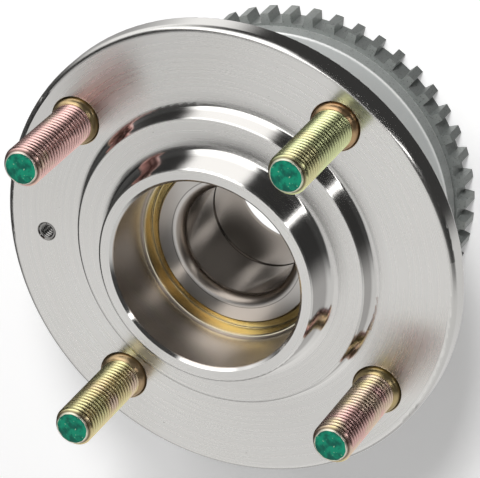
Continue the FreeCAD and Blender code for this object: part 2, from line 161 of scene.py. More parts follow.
# %% Graphs
class Graph:
    """A node tree. node() adds any node, and math() one Math node."""

    def __init__(self, tree):
        self.tree = tree
        tree.nodes.clear()

    def node(self, kind, settings, inputs, output=0):
        """Adds a node: its settings first, then the value or the link of each socket."""
        made = self.tree.nodes.new("ShaderNode" + kind)
        for name, value in settings.items():
            setattr(made, name, value)
        for name, value in inputs.items():
            if isinstance(value, Wire):
                self.tree.links.new(value.socket, made.inputs[name])
            elif isinstance(value, tuple) and made.inputs[name].type == "RGBA":
                made.inputs[name].default_value = (*value, 1.0)
            else:
                made.inputs[name].default_value = value
        return Wire(self, made.outputs[output]) if made.outputs else None

    def end(self, kind, surface):
        """Links a finished shader to the tree's output."""
        self.node("Output" + kind, {}, {"Surface": surface})

    def math(self, operation, first, second=0.0):
        return self.node("Math", {"operation": operation}, {0: first, 1: second})

    def vector(self, operation, inputs):
        return self.node("VectorMath", {"operation": operation}, inputs, "Vector")

    def split(self, vector):
        """The three numbers of a vector."""
        first = self.node("SeparateXYZ", {}, {"Vector": vector}, "X")
        made = first.socket.node
        return first, Wire(self, made.outputs["Y"]), Wire(self, made.outputs["Z"])

    def length(self, x, y):
        """How far a point is from the place where both numbers are 0."""
        return self.math("SQRT", x * x + y * y)

    def dot(self, vector, fixed):
        settings = {"operation": "DOT_PRODUCT"}
        return self.node("VectorMath", settings, {0: vector, 1: tuple(fixed)}, "Value")

    def smooth(self, value, start, end):
        """0 up to start, 1 from end on, and a soft step between them."""
        settings = {"interpolation_type": "SMOOTHSTEP"}
        limits = {"Value": value, "From Min": start, "From Max": end}
        return self.node("MapRange", settings, limits)

    def band(self, value, low, high, edge):
        """1 between low and high, and 0 outside, with soft edges."""
        rise = self.smooth(value, low - edge, low + edge)
        return rise * (1 - self.smooth(value, high - edge, high + edge))

    def mix(self, share, first, second):
        """A colour that goes from the first to the second with the share."""
        factor, first_colour, second_colour, result_colour = 0, 6, 7, 2
        inputs = {factor: share, first_colour: first, second_colour: second}
        return self.node("Mix", {"data_type": "RGBA"}, inputs, result_colour)

    def noise(self, place, scale, detail=2.0, dimensions="3D"):
        at = "W" if dimensions == "1D" else "Vector"
        inputs = {at: place, "Scale": scale, "Detail": detail}
        return self.node("TexNoise", {"noise_dimensions": dimensions}, inputs)


print("a graph can step, band, mix and make noise")

# %% [markdown]
# ## Studio
# Polished steel has almost no colour of its own: it shows the room. So the room is
# read off the turned walls in the photograph, and the world shader draws it by
# direction, because a world needs no objects and lights every side evenly. The room
# is dark, with a wide pale sweep on the side away from the camera, brightest right
# behind the part. A soft panel shines at one side, and one narrow strip on the
# camera's side makes the sharp white streak on every wall. Two darker stretches lie
# near the horizon. Matte surfaces get a plain soft dome instead of this room.

# %% Directions of the room
def look_to(azimuth, elevation):
    """A direction, from an azimuth counted from the camera's, and an elevation."""
    round_axis = math.radians(camera_azimuth + azimuth)
    tilt = math.radians(elevation)
    level_share = math.cos(tilt)
    return Vector((
        math.cos(round_axis) * level_share,
        math.sin(round_axis) * level_share,
        math.sin(tilt),
    ))


studio = bpy.data.worlds.new("studio")
studio.use_nodes = True
studio.cycles.sampling_method = "NONE"
scene.world = studio
scene.view_settings.view_transform = "Standard"
world = Graph(studio.node_tree)
direction = world.node("TexCoord", {}, {}, "Generated")
level = world.split(direction)[2]
across = world.dot(direction, look_to(-90, 0))
away = world.dot(direction, look_to(180, 0))
heading = world.math("ARCTAN2", across, away) * math.degrees(1)
print("heading is 0 on the side away from the camera and 180 on the camera's side")
print("level is -1 straight down, 0 at the horizon and 1 overhead")

# %% The room that steel reflects
DARK_ROOM = 0.045
PALE_SWEEP = 0.61
SWEEP_BEHIND_PART = 0.22
LOW_PANEL = 0.42
SOFT_PANEL = 1.95
NARROW_STRIP = 4.40

high = world.smooth(level, 0.30, 0.48)
low_sweep = world.band(heading, -109, 108, 9) * (1 - 0.45 * world.band(heading, -56, 9, 12))
high_sweep = world.band(heading, -21, 104, 12)
sweep = low_sweep + high * (high_sweep - low_sweep)
behind = 1 - world.smooth(world.math("ABSOLUTE", heading), 45, 75)
behind = behind * world.smooth(level, -0.2, 0.4)
room = DARK_ROOM + 0.01 * high + sweep * (PALE_SWEEP + SWEEP_BEHIND_PART * behind)
room = room + LOW_PANEL * (1 - high) * world.band(heading, -101, -72, 10)
room = room + SOFT_PANEL * world.band(heading, -142, -91, 5) * world.smooth(level, 0.0, 0.6)
room = room + NARROW_STRIP * world.band(heading, 153.5, 158, 2.2) * world.smooth(level, 0.3, 0.5)
dark_stretch = world.band(level, -0.5, 0.55, 0.1) * world.band(heading, -62, -14, 8)
room = room * (1 - 0.85 * dark_stretch)
dim_stretch = world.band(level, -0.35, 0.2, 0.1) * world.band(heading, 15, 58, 10)
room = room * (1 - 0.40 * dim_stretch)
print("the strip is", round(NARROW_STRIP / PALE_SWEEP, 1), "times as bright as the sweep")

# %% World
BACKDROP = 0.93
dome = 0.06 + 0.20 * world.smooth(level, -0.1, 0.3)
seen = world.node("LightPath", {}, {}, "Is Camera Ray")
matte_ray = Wire(world, seen.socket.node.outputs["Is Diffuse Ray"])
strength = seen * BACKDROP + matte_ray * dome + (1 - seen - matte_ray) * room
world_colour = world.mix(seen, (1.0, 0.992, 0.977), (1.0, 1.0, 1.0))
background = world.node("Background", {}, {"Color": world_colour, "Strength": strength})
world.end("World", background)
print("world nodes:", len(studio.node_tree.nodes))

# %% [markdown]
# ## Floor
# The hub stands on its toothed ring on a plain pale floor, and one large disc is
# enough for it. It glows a little, like a light table, and most under the bore: that
# is the white crescent that shows through the far end of the bearing. Reflections
# and matte surfaces don't see the floor, since the world already lights them.

# %% Floor
FLOOR_R = 6.0
FLOOR_SIDES = 96
FLOOR_GLOW = (0.24, 0.24, 0.24)
BORE_END_GLOW = (0.98, 0.98, 0.98)


def new_object(name, mesh):
    made = bpy.data.objects.new(name, mesh)
    scene.collection.objects.link(made)
    return made


def mesh_from(shape, name):
    """Turns a finished bmesh into a mesh."""
    mesh = bpy.data.meshes.new(name)
    shape.to_mesh(mesh)
    shape.free()
    return mesh


def floor_disc():
    shape = bmesh.new()
    bmesh.ops.create_circle(shape, cap_ends=True, segments=FLOOR_SIDES, radius=FLOOR_R)
    return mesh_from(shape, "floor")


def new_material(name):
    made = bpy.data.materials.new(name)
    made.use_nodes = True
    return made, Graph(made.node_tree)


floor = new_object("floor", floor_disc())
floor.visible_glossy = False
floor.visible_diffuse = False
floor_paint, paper = new_material("pale_floor")
floor_place = paper.node("TexCoord", {}, {}, "Object")
grain = paper.noise(floor_place, 9.0)
from_axis = paper.node("VectorMath", {"operation": "LENGTH"}, {0: floor_place}, "Value")
under_bore = 1 - paper.smooth(from_axis, 30 * MM, 36 * MM)
paper.end("Material", paper.node("BsdfPrincipled", {}, {
    "Base Color": paper.mix(grain, (0.90, 0.90, 0.90), (0.93, 0.93, 0.935)),
    "Roughness": 0.9,
    "Emission Color": paper.mix(under_bore, FLOOR_GLOW, BORE_END_GLOW),
    "Emission Strength": 1.0,
}, "BSDF"))
floor.data.materials.append(floor_paint)
print("floor radius", FLOOR_R, "m")

# %% [markdown]
# ## Glow under the bore
# The rings' bore reflects what lies below it, in bright and dark bands. A small disc
# just under the floor carries the light for them: a patch on the side away from the
# camera, one on each flank and a faint one on the near side. Only reflections see
# it, so it could be drawn without changing anything else.

# %% Glow under the bore
GLOW_R = 24 * MM
GLOW_DEPTH = 1 * MM
FAR_PATCH = 0.58
FLANK_PATCH = 0.66
NEAR_PATCH = 0.11

bore_glow = new_object("bore_glow", floor_disc())
bore_glow.scale = (GLOW_R / FLOOR_R, GLOW_R / FLOOR_R, 1)
bore_glow.location.z = -GLOW_DEPTH
bore_glow.visible_camera = False
bore_glow.visible_diffuse = False
bore_glow.visible_shadow = False
glow_paint, glow = new_material("bore_glow")
glow_place = glow.node("NewGeometry", {}, {}, "Position")
near = glow.dot(glow_place, look_to(0, 0))
side = glow.math("ABSOLUTE", glow.dot(glow_place, look_to(90, 0)))
far = (1 - glow.smooth(near, -9 * MM, -4 * MM)) * (1 - glow.smooth(side, 8 * MM, 11 * MM))
flank = glow.band(near, -5.5 * MM, 4 * MM, 1.5 * MM) * glow.smooth(side, 11 * MM, 13 * MM)
glow_share = FAR_PATCH * far + FLANK_PATCH * flank
glow_share = glow_share + NEAR_PATCH * glow.smooth(near, 3 * MM, 9 * MM)
glow.end("Material", glow.node("BsdfPrincipled", {}, {
    "Base Color": (0.02, 0.02, 0.02),
    "Emission Color": glow.mix(glow_share, (0.02, 0.018, 0.015), (1.0, 0.98, 0.95)),
    "Emission Strength": 1.0,
}, "BSDF"))
bore_glow.data.materials.append(glow_paint)
print("glow radius", round(GLOW_R / MM, 1), "mm")

# %% [markdown]
# ## Lamps
# Two square lamps light what is matte, and cast the soft shadow at the lower right.
# They are hidden from reflections, which belong to the world alone, so a lamp can be
# moved or dimmed without a change to the steel.

# %% Lamps
LAMP_DISTANCE = 1.5


def lamp(name, azimuth, elevation, size, power):
    data = bpy.data.lights.new(name, "AREA")
    data.shape = "SQUARE"
    data.size = size
    data.energy = power
    made = new_object(name, data)
    towards = look_to(azimuth, elevation)
    made.location = towards * LAMP_DISTANCE
    made.rotation_mode = "QUATERNION"
    made.rotation_quaternion = towards.to_track_quat("Z", "Y")
    made.visible_glossy = False
    return made


lamps = [
    lamp("side_lamp", azimuth=46, elevation=55, size=0.35, power=5.0),
    lamp("key_lamp", azimuth=25, elevation=44, size=0.30, power=15.0),
]
print("lamps:", [made.name for made in lamps])

# %% [markdown]
# ## Finishes
# Each finish is a function that fills one material. All of them start from where a
# point is on the part: its radius from the axis and its height. Turning leaves rings
# round the axis, so noise that depends on the radius alone looks like lathe work.
# In the finishes radii and heights are plain millimetres, and colours run from 0 to 1.

# %% Finish tools
Point = namedtuple("Point", "place x y z radius facing")


def around_axis(graph):
    """A point's place and radius in millimetres, and how far its face looks up."""
    place = graph.node("TexCoord", {}, {}, "Object")
    scaled = graph.vector("SCALE", {0: place, "Scale": 1 / MM})
    x, y, z = graph.split(scaled)
    facing = graph.split(graph.node("TexCoord", {}, {}, "Normal"))[2]
    return Point(scaled, x, y, z, graph.length(x, y), facing)


def finish_surface(graph, inputs, bump, depth, normal=None):
    """The shader itself: fixed numbers sit on its own sockets, varying ones come by wire."""
    relief = {"Height": bump, "Distance": depth}
    if normal is not None:
        relief["Normal"] = normal
    inputs["Normal"] = graph.node("Bump", {}, relief, "Normal")
    graph.end("Material", graph.node("BsdfPrincipled", {}, inputs, "BSDF"))


def wear(node, material):
    """Puts a material on a solid in place of its plain one."""
    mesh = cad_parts[node].data
    mesh.materials.clear()
    mesh.materials.append(material)


print("a point has", ", ".join(Point._fields))

# %% [markdown]
# ### Walls that reflect like a cone
# A mirror-like wall shows whatever its direction points at, so a small change of
# direction moves the reflected room a long way. The walls and fillets of the
# flange's steps show the pattern that a slightly sloped wall would. Bending the
# solid would spoil its fit, so only the shading direction is turned, by a mask.

# %% Cone direction
CONE_RISE = 1.6


def coned(graph, share):
    """The surface's own direction, turned by a share to that of a cone round the axis."""
    place = graph.node("TexCoord", {}, {}, "Object")
    outwards = graph.vector("NORMALIZE", {0: graph.vector("MULTIPLY", {0: place, 1: (1, 1, 0)})})
    cone = graph.vector("NORMALIZE", {0: graph.vector("ADD", {0: outwards, 1: (0, 0, CONE_RISE)})})
    own = graph.node("TexCoord", {}, {}, "Normal")
    first_vector, second_vector, result_vector = 4, 5, 1
    inputs = {"Factor": share, first_vector: own, second_vector: cone}
    turned = graph.node("Mix", {"data_type": "VECTOR"}, inputs, result_vector)
    turned = graph.vector("NORMALIZE", {0: turned})
    spaces = {"vector_type": "NORMAL", "convert_from": "OBJECT", "convert_to": "WORLD"}
    return graph.node("VectorTransform", spaces, {"Vector": turned}, "Vector")


print("the cone looks up by", round(math.degrees(math.atan(CONE_RISE))), "degrees")

# %% [markdown]
# ### Turned steel
# The flange is turned on a lathe and left bright. Its flat faces carry very fine
# rings that smear reflections outwards, which is why a stud's image in the face
# spreads. The shader's anisotropy does that. The walls of the two steps get painted
# shade, a darker colour for their dim reflection, and they and the steps' lips take
# the cone's direction. The cap's bore is duller and a little brown, the back is only
# rough turned, and painted shade makes a dark ring round each stud and at the mouth
# of the screw hole.

# %% Places on the flange
STUD_CIRCLE_R = 57.15
STUD_OFFSET = STUD_CIRCLE_R * math.cos(math.radians(45))
SCREW_X, SCREW_Y = -56.905, 5.279
CAP_BORE_R = 28.8
FACE_Z = FLANGE_FACE / MM
BACK_Z = FLANGE_BACK / MM
LIP_WIDTH = 0.7
LIP_HEIGHT = 0.65


def step_walls(graph, at):
    """The walls and fillets of the two steps on the flange."""
    steep = 1 - graph.smooth(at.facing, 0.78, 0.92)
    return steep * graph.band(at.radius, 32.0, 50.0, 0.2) * graph.smooth(at.z, FACE_Z - 0.2, FACE_Z)


def step_lips(graph, at):
    """The rim of each step's top. The disc's step is folded on to the wheel's."""
    outer = graph.smooth(at.radius, 39, 41)
    apart = (DISC_PILOT_R - WHEEL_PILOT_R) / MM
    drop = (WHEEL_PILOT_HEIGHT - DISC_PILOT_HEIGHT) / MM
    lip_r = WHEEL_PILOT_R / MM - LIP_WIDTH
    lip_z = PILOT_TOP / MM - LIP_HEIGHT
    lip = graph.smooth(at.radius - apart * outer, lip_r, lip_r + 0.1)
    lip = lip * graph.smooth(at.z + drop * outer, lip_z, lip_z + 0.1)
    return lip * (1 - graph.smooth(at.radius, 46, 47))


def painted_hole_shade(graph, at):
    """Painted shade: dark rings round the four studs, which mirror one another, and the screw hole.
    """
    stud_x = graph.math("ABSOLUTE", at.x) - STUD_OFFSET
    stud_y = graph.math("ABSOLUTE", at.y) - STUD_OFFSET
    stud_shade_ring = 1 - graph.smooth(graph.length(stud_x, stud_y), 7.25, 7.5)
    from_screw = graph.length(at.x - SCREW_X, at.y - SCREW_Y)
    return stud_shade_ring + (1 - graph.smooth(from_screw, 2.85, 3.05))


print("stud centres", round(STUD_OFFSET, 2), "mm from the middle each way")

# %% Turned steel
def turned_steel():
    made, graph = new_material("turned_steel")
    at = around_axis(graph)
    flat = graph.smooth(at.facing, 0.9, 0.99)
    bore = 1 - graph.smooth(at.radius, CAP_BORE_R + 0.1, CAP_BORE_R + 0.3)
    back = 1 - graph.smooth(at.z, BACK_Z + 0.1, BACK_Z + 0.9)
    edge = graph.band(at.facing, 0.2, 0.9, 0.06) * graph.smooth(at.radius, 60.0, 60.4)
    step = step_walls(graph, at)
    # Painted shade goes on the steps' steep walls: a darker colour for their dim reflection.
    wall = step * (1 - graph.smooth(at.facing, 0.45, 0.75))

    fine = graph.noise(at.radius, 5.5, 3.0, dimensions="1D")
    broad = graph.noise(at.radius, 0.7, 2.0, dimensions="1D")
    along = graph.noise(at.z, 6.0, 3.0, dimensions="1D")
    cloud = graph.noise(at.place, 0.045, 3.0)
    speck = graph.smooth(graph.noise(at.place, 0.95, 1.0), 0.80, 0.815)

    bright = graph.mix(cloud, (0.73, 0.72, 0.70), (0.79, 0.785, 0.775))
    bright = graph.mix(0.22 * flat * fine, bright, (0.50, 0.49, 0.48))
    brown = graph.mix(along, (0.54, 0.485, 0.435), (0.64, 0.585, 0.535))
    steel = graph.mix(bore, bright, brown)
    steel = graph.mix(0.75 * wall, steel, (0.38, 0.37, 0.36))
    steel = graph.mix(back * 0.5, steel, (0.45, 0.44, 0.43))
    steel = graph.mix(0.6 * speck * flat, steel, (0.12, 0.11, 0.10))
    # Painted shade: dark rings round each stud and at the mouth of the screw hole.
    steel = graph.mix(0.85 * painted_hole_shade(graph, at) * (1 - back), steel, (0.07, 0.065, 0.06))

    rough = 0.085 + 0.15 * flat + 0.05 * broad * flat
    rough = rough + 0.14 * bore + 0.16 * back + 0.03 * cloud + 0.10 * edge
    lines = flat * fine + (1 - flat) * along
    like_cone = step + step_lips(graph, at) * (1 - step)
    finish_surface(graph, {
        "Base Color": steel,
        "Metallic": 1.0,
        "Roughness": rough,
        "Anisotropic": 0.75,
        "Anisotropic Rotation": 0.25,
    }, bump=lines, depth=0.004 * MM, normal=coned(graph, like_cone))
    return made


TURNED_STEEL = turned_steel()
wear("hub_flange", TURNED_STEEL)
print("hub_flange wears", TURNED_STEEL.name)

# %% [markdown]
# ### Sintered iron
# The toothed ring is pressed from iron powder and fired. It is matte and slightly
# speckled. Its front face, which the press tool leaves smooth, is less rough, and
# painted light makes it paler, because it looks up towards the lamps. Highlights are
# painted on the collar's two edges, and the teeth below it look more metallic. Pores
# could be cut into the mesh, but they are finer than its faces, so noise darkens them
# and the same noise sinks them in the bump.

# %% Sintered iron
TEETH_TOP = 7.0
COLLAR_LOW = 9.4
COLLAR_TOP = 14.9


def sintered_iron():
    made, graph = new_material("sintered_iron")
    at = around_axis(graph)
    # The face that looks up: it is smoother, and painted light makes it paler.
    lit_smooth_front = graph.smooth(at.facing, 0.6, 0.95)
    lit_smooth_front = lit_smooth_front * graph.smooth(at.z, COLLAR_TOP - 0.9, COLLAR_TOP - 0.3)
    grain = graph.noise(at.place, 3.2, 3.0)
    patch = graph.noise(at.place, 0.16, 2.0)
    pore = graph.smooth(graph.noise(at.place, 2.1, 1.0), 0.62, 0.70)
    # Painted highlights on the collar's two rounded edges.
    top_edge_highlight = graph.band(at.z, COLLAR_TOP - 0.55, COLLAR_TOP - 0.1, 0.1)
    top_edge_highlight = top_edge_highlight * graph.smooth(at.radius, 49.6, 49.9)
    low_edge_highlight = graph.band(at.z, COLLAR_LOW + 0.1, COLLAR_LOW + 0.7, 0.12)
    low_edge_highlight = low_edge_highlight * graph.smooth(at.radius, 49.7, 49.9)

    iron = graph.mix(grain, (0.42, 0.445, 0.433), (0.54, 0.565, 0.55))
    iron = graph.mix(0.35 * patch, iron, (0.52, 0.545, 0.53))
    # Painted light: the upward front face is painted paler.
    iron = graph.mix(0.80 * lit_smooth_front, iron, (0.74, 0.765, 0.76))
    iron = graph.mix(0.55 * pore * (1 - lit_smooth_front), iron, (0.12, 0.13, 0.125))
    iron = graph.mix(top_edge_highlight + low_edge_highlight, iron, (0.95, 0.96, 0.95))
    finish_surface(graph, {
        "Base Color": iron,
        "Metallic": 0.25 + 0.40 * (1 - graph.smooth(at.z, TEETH_TOP, TEETH_TOP + 0.4)),
        "Roughness": 0.42 - 0.10 * lit_smooth_front + 0.10 * grain,
    }, bump=grain - 0.6 * pore, depth=0.04 * MM)
    return made


SINTERED_IRON = sintered_iron()
wear("tone_ring", SINTERED_IRON)
print("tone_ring wears", SINTERED_IRON.name)

# %% [markdown]
# ### Ground bearing steel
# Bearing rings are ground, so they are smooth and dark, with a brown cast from the
# oil film. Grinding marks run round the bore, so their noise depends on the height
# alone. A dark line shows where the two rings meet, the rounded corner of the
# outboard ring is darker, and a fine line runs round its flat face. The outer ring
# and the balls get the same finish in paler, smoother steel.

# %% Ground bearing steel
RINGS_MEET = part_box("inner_ring_outboard")[0].z / MM
SPINDLE_BORE_R = 17.0
CORNER_R = 20.2


def ground_steel(name, pale, dark, roughness):
    made, graph = new_material(name)
    at = around_axis(graph)
    flat = graph.smooth(graph.math("ABSOLUTE", at.facing), 0.9, 0.99)
    marks = graph.noise(at.z, 9.0, 3.0, dimensions="1D")
    rings = graph.noise(at.radius, 9.0, 3.0, dimensions="1D")
    cloud = graph.noise(at.place, 0.12, 3.0)
    in_bore = 1 - graph.smooth(at.radius, SPINDLE_BORE_R + 0.5, SPINDLE_BORE_R + 1.0)
    split = graph.band(at.z, RINGS_MEET - 0.7, RINGS_MEET + 0.7, 0.1) * in_bore
    line = graph.band(at.radius, CORNER_R, CORNER_R + 0.3, 0.05) * flat
    corner = graph.band(at.radius, SPINDLE_BORE_R + 0.2, CORNER_R, 0.1)
    corner = corner * (1 - flat) * graph.smooth(at.z, 44, 46)

    steel = graph.mix(cloud, dark, pale)
    steel = graph.mix(0.75 * flat, steel, (0.66, 0.65, 0.64))
    steel = graph.mix(0.75 * corner, steel, (0.30, 0.262, 0.23))
    steel = graph.mix(0.8 * split + 0.5 * line, steel, (0.03, 0.028, 0.025))
    finish_surface(graph, {
        "Base Color": steel,
        "Metallic": 1.0,
        "Roughness": roughness + 0.05 * cloud + 0.12 * flat + 0.10 * corner,
        "Anisotropic": 0.5,
        "Anisotropic Rotation": 0.25,
    }, bump=marks * (1 - flat) + rings * flat, depth=0.003 * MM)
    return made


RING_STEEL = ground_steel("ring_steel", (0.55, 0.50, 0.46), (0.44, 0.40, 0.365), 0.17)
RACE_STEEL = ground_steel("race_steel", (0.60, 0.58, 0.56), (0.52, 0.50, 0.48), 0.12)
BALL_STEEL = ground_steel("ball_steel", (0.72, 0.72, 0.73), (0.66, 0.66, 0.68), 0.05)
BALLS = [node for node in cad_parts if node.startswith(("ball_outboard", "ball_inboard"))]
wear("inner_ring_outboard", RING_STEEL)
wear("inner_ring_inboard", RING_STEEL)
wear("bearing_outer_ring", RACE_STEEL)
for ball in BALLS:
    wear(ball, BALL_STEEL)
print("three rings and", len(BALLS), "balls are ground steel")

# %% [markdown]
# ### Yellow zinc
# Yellow zinc plating is a thin film over bright zinc. The film's thickness drifts, and
# with it the colour, from straw through olive and copper to pink. The shader could
# work out the film's interference, but three tints that blend with a broad noise are
# easier to match. One function plates the shield and, with other tints, each stud.

# %% Yellow zinc
def zinc_film(graph, place, tints, seed, scale):
    """The film's colour drifts between three tints as the place changes."""
    moved = graph.vector("ADD", {0: place, 1: (seed, 2 * seed, 0)})
    drift = graph.noise(moved, scale, 2.0)
    fleck = graph.noise(moved, 2.4, 3.0)
    film = graph.mix(graph.smooth(drift, 0.36, 0.50), tints[0], tints[1])
    film = graph.mix(graph.smooth(drift, 0.50, 0.64), film, tints[2])
    film = graph.mix(0.25 * graph.smooth(fleck, 0.55, 0.75), film, (0.92, 0.88, 0.70))
    return film, fleck


STRAW = (0.86, 0.77, 0.52)
DULL_STRAW = (0.80, 0.69, 0.44)
OLIVE = (0.70, 0.60, 0.36)
AMBER = (0.62, 0.38, 0.16)
print("the shield's film runs from", STRAW, "to", OLIVE)

# %% [markdown]
# ### Dust shield
# The shield is a thin cone of plated sheet. Its film is a little more amber on one
# side, painted shade darkens the crease where the rim turns into the cone, and a
# highlight is painted on the rim. Radii make the crease and the rim, so they stay
# sharp at any distance.

# %% Dust shield
CREASE_R = 27.3
RIM_R = 28.0


def shield_zinc():
    made, graph = new_material("shield_zinc")
    at = around_axis(graph)
    film, fleck = zinc_film(graph, at.place, (STRAW, DULL_STRAW, OLIVE), 3.0, 0.05)
    amber_side = graph.smooth(at.x * -0.91 + at.y * -0.42, 17, 26)
    # Painted shade along the crease where the rim turns into the cone.
    crease_shade = graph.band(at.radius, CREASE_R - 0.14, CREASE_R + 0.14, 0.04)
    # Painted highlight on the shield's rim.
    rim = graph.smooth(at.radius, RIM_R, RIM_R + 0.06) * graph.smooth(at.facing, 0.4, 0.8)
    film = graph.mix(0.24 * amber_side, film, AMBER)
    film = graph.mix(0.8 * crease_shade, film, (0.10, 0.08, 0.05))
    film = graph.mix(rim, film, (0.90, 0.87, 0.70))
    finish_surface(graph, {
        "Base Color": film,
        "Metallic": 1 - 0.8 * rim,
        "Roughness": 0.20 + 0.08 * fleck + 0.2 * rim,
    }, bump=fleck, depth=0.010 * MM)
    return made


SHIELD_ZINC = shield_zinc()
wear("outboard_shield", SHIELD_ZINC)
print("outboard_shield wears", SHIELD_ZINC.name)

# %% [markdown]
# ### Small parts
# The cages are glass-filled nylon, the seals rubber on steel cases, and the clip and
# the retaining ring dark spring steel. The tapped hole is lined with a darker cut
# steel. They are small or hidden, so one function with a plain grain does for all.

# %% Small parts
def grained(name, pale, dark, metallic, roughness, scale, depth):
    made, graph = new_material(name)
    grain = graph.noise(around_axis(graph).place, scale, 3.0)
    finish_surface(graph, {
        "Base Color": graph.mix(grain, dark, pale),
        "Metallic": metallic,
        "Roughness": roughness + 0.10 * grain,
    }, bump=grain, depth=depth)
    return made


NYLON = grained(
    "cage_nylon", (0.72, 0.66, 0.50), (0.60, 0.54, 0.40),
    metallic=0.0, roughness=0.45, scale=1.2, depth=0.03 * MM)
RUBBER = grained(
    "seal_rubber", (0.035, 0.035, 0.037), (0.018, 0.018, 0.02),
    metallic=0.0, roughness=0.55, scale=1.6, depth=0.04 * MM)
CASE_STEEL = grained(
    "case_steel", (0.62, 0.61, 0.60), (0.50, 0.49, 0.48),
    metallic=1.0, roughness=0.22, scale=0.6, depth=0.01 * MM)
TAPPED_STEEL = grained(
    "tapped_steel", (0.36, 0.355, 0.35), (0.20, 0.195, 0.19),
    metallic=1.0, roughness=0.14, scale=0.9, depth=0.004 * MM)
SPRING_STEEL = grained(
    "spring_steel", (0.17, 0.16, 0.155), (0.10, 0.095, 0.09),
    metallic=0.8, roughness=0.38, scale=1.5, depth=0.03 * MM)
SMALL_PARTS = {
    "ball_cage_outboard": NYLON,
    "ball_cage_inboard": NYLON,
    "seal_lip_outboard": RUBBER,
    "seal_lip_inboard": RUBBER,
    "seal_case_outboard": CASE_STEEL,
    "seal_case_inboard": CASE_STEEL,
    "inboard_slinger": CASE_STEEL,
    "inner_ring_clip": SPRING_STEEL,
    "retaining_ring": SPRING_STEEL,
}
for node, material in SMALL_PARTS.items():
    wear(node, material)
print("small parts dressed:", len(SMALL_PARTS))

# %% [markdown]
# ## Studs
# A wheel stud is a headed bolt pressed through the flange: a head behind it, a plain
# shank in it, a rounded collar above its face and then the thread. The sizes are the
# solid's, and the thread is the one thing that the solid leaves out.

# %% Stud sizes
PITCH = 1.5 * MM
THREAD_R = 6.0 * MM
ROOT_R = 5.08 * MM
SHANK_R = 7.0 * MM
HEAD_R = 9.3 * MM
HEAD_EDGE = 0.6 * MM
TIP_R = 4.7 * MM
TIP_CHAMFER = 1.3 * MM
PAINT_HEIGHT = 0.12 * MM
SHANK_TOP = FLANGE_FACE + 0.4 * MM
THREAD_START = FLANGE_FACE + 2.3 * MM
THREAD_END = STUD_TIP - PAINT_HEIGHT
SIDES = 64
SHARP_ANGLE = math.radians(35)
MERGE_DISTANCE = 0.002 * MM
print("thread of", round((THREAD_END - THREAD_START) / PITCH, 1), "turns")

# %% [markdown]
# ## Threads
# A thread is a ridge that climbs in a helix, and rings stacked on each other would
# look wrong at the edges. So the rows of the mesh climb with the helix: each row
# keeps its place in the thread's profile, and one turn further on it meets the next
# ridge. Where the rows run past the threaded part they are pressed flat against its
# end, and then merged. The same rows line the tapped hole, seen from inside.

# %% Rows of corners
def corner(shape, radius, i, sides, height):
    """Corner number i of as many as there are sides round the axis."""
    angle = 2 * math.pi * i / sides
    return shape.verts.new((radius * math.cos(angle), radius * math.sin(angle), height))


def ring(shape, radius, height):
    """A closed row: its last corner is its first again."""
    corners = [corner(shape, radius, i, SIDES, height) for i in range(SIDES)]
    return corners + corners[:1]


def helical_rows(shape, start, end, pitch, profile, sides, radius_at):
    """Rows that climb with the thread, one for each point of its profile, turn after turn."""
    rows = []
    for turn in range(int((end - start) / pitch) + 3):
        for along, share in profile:
            row = []
            for i in range(sides + 1):
                height = start + pitch * (turn - 1 + along + i / sides)
                height = min(max(height, start), end)
                row.append(corner(shape, radius_at(height, share), i, sides, height))
            rows.append(row)
    return rows


def join_rows(shape, rows, towards_axis=False):
    """Faces between each row and the next, looking outwards or towards the axis."""
    for low, high in zip(rows, rows[1:]):
        for i in range(len(low) - 1):
            if towards_axis:
                shape.faces.new((low[i], high[i], high[i + 1], low[i + 1]))
            else:
                shape.faces.new((low[i], low[i + 1], high[i + 1], high[i]))


def merge_corners(shape):
    """Joins the corners that lie on one another, and drops the faces between them."""
    bmesh.ops.remove_doubles(shape, verts=shape.verts, dist=MERGE_DISTANCE)
    bmesh.ops.dissolve_degenerate(shape, edges=shape.edges, dist=MERGE_DISTANCE)


def smooth_mesh(shape, name):
    """The finished mesh, with soft shading on every face."""
    for face in shape.faces:
        face.smooth = True
    return mesh_from(shape, name)


print("corners round a stud:", SIDES)

# %% [markdown]
# ### Stud shape
# The stud is drawn from head to tip as one closed skin: plain rings up to the collar,
# then the thread's rows, then a flat tip. The profile gives, for each point, its share
# of the pitch and its share of the ridge's height. The ridge fades out over half a
# turn at the collar, and a chamfer cuts it down at the tip.

# %% Stud shape
STUD_PROFILE = [(0.0, 1.0), (0.16, 1.0), (0.44, 0.06), (0.52, 0.0), (0.64, 0.0), (0.72, 0.06)]
RUN_OUT = 0.5 * PITCH


def thread_radius(height, share):
    """Radius at a height: the thread's profile, less the tip's chamfer and the run-out."""
    depth = THREAD_R - ROOT_R
    run_out = min(1.0, max(0.0, (height - THREAD_START) / RUN_OUT))
    radius = THREAD_R - depth * (1 - share) * run_out
    chamfer = TIP_R + (THREAD_END - height) * (THREAD_R - TIP_R) / TIP_CHAMFER
    return min(radius, chamfer)


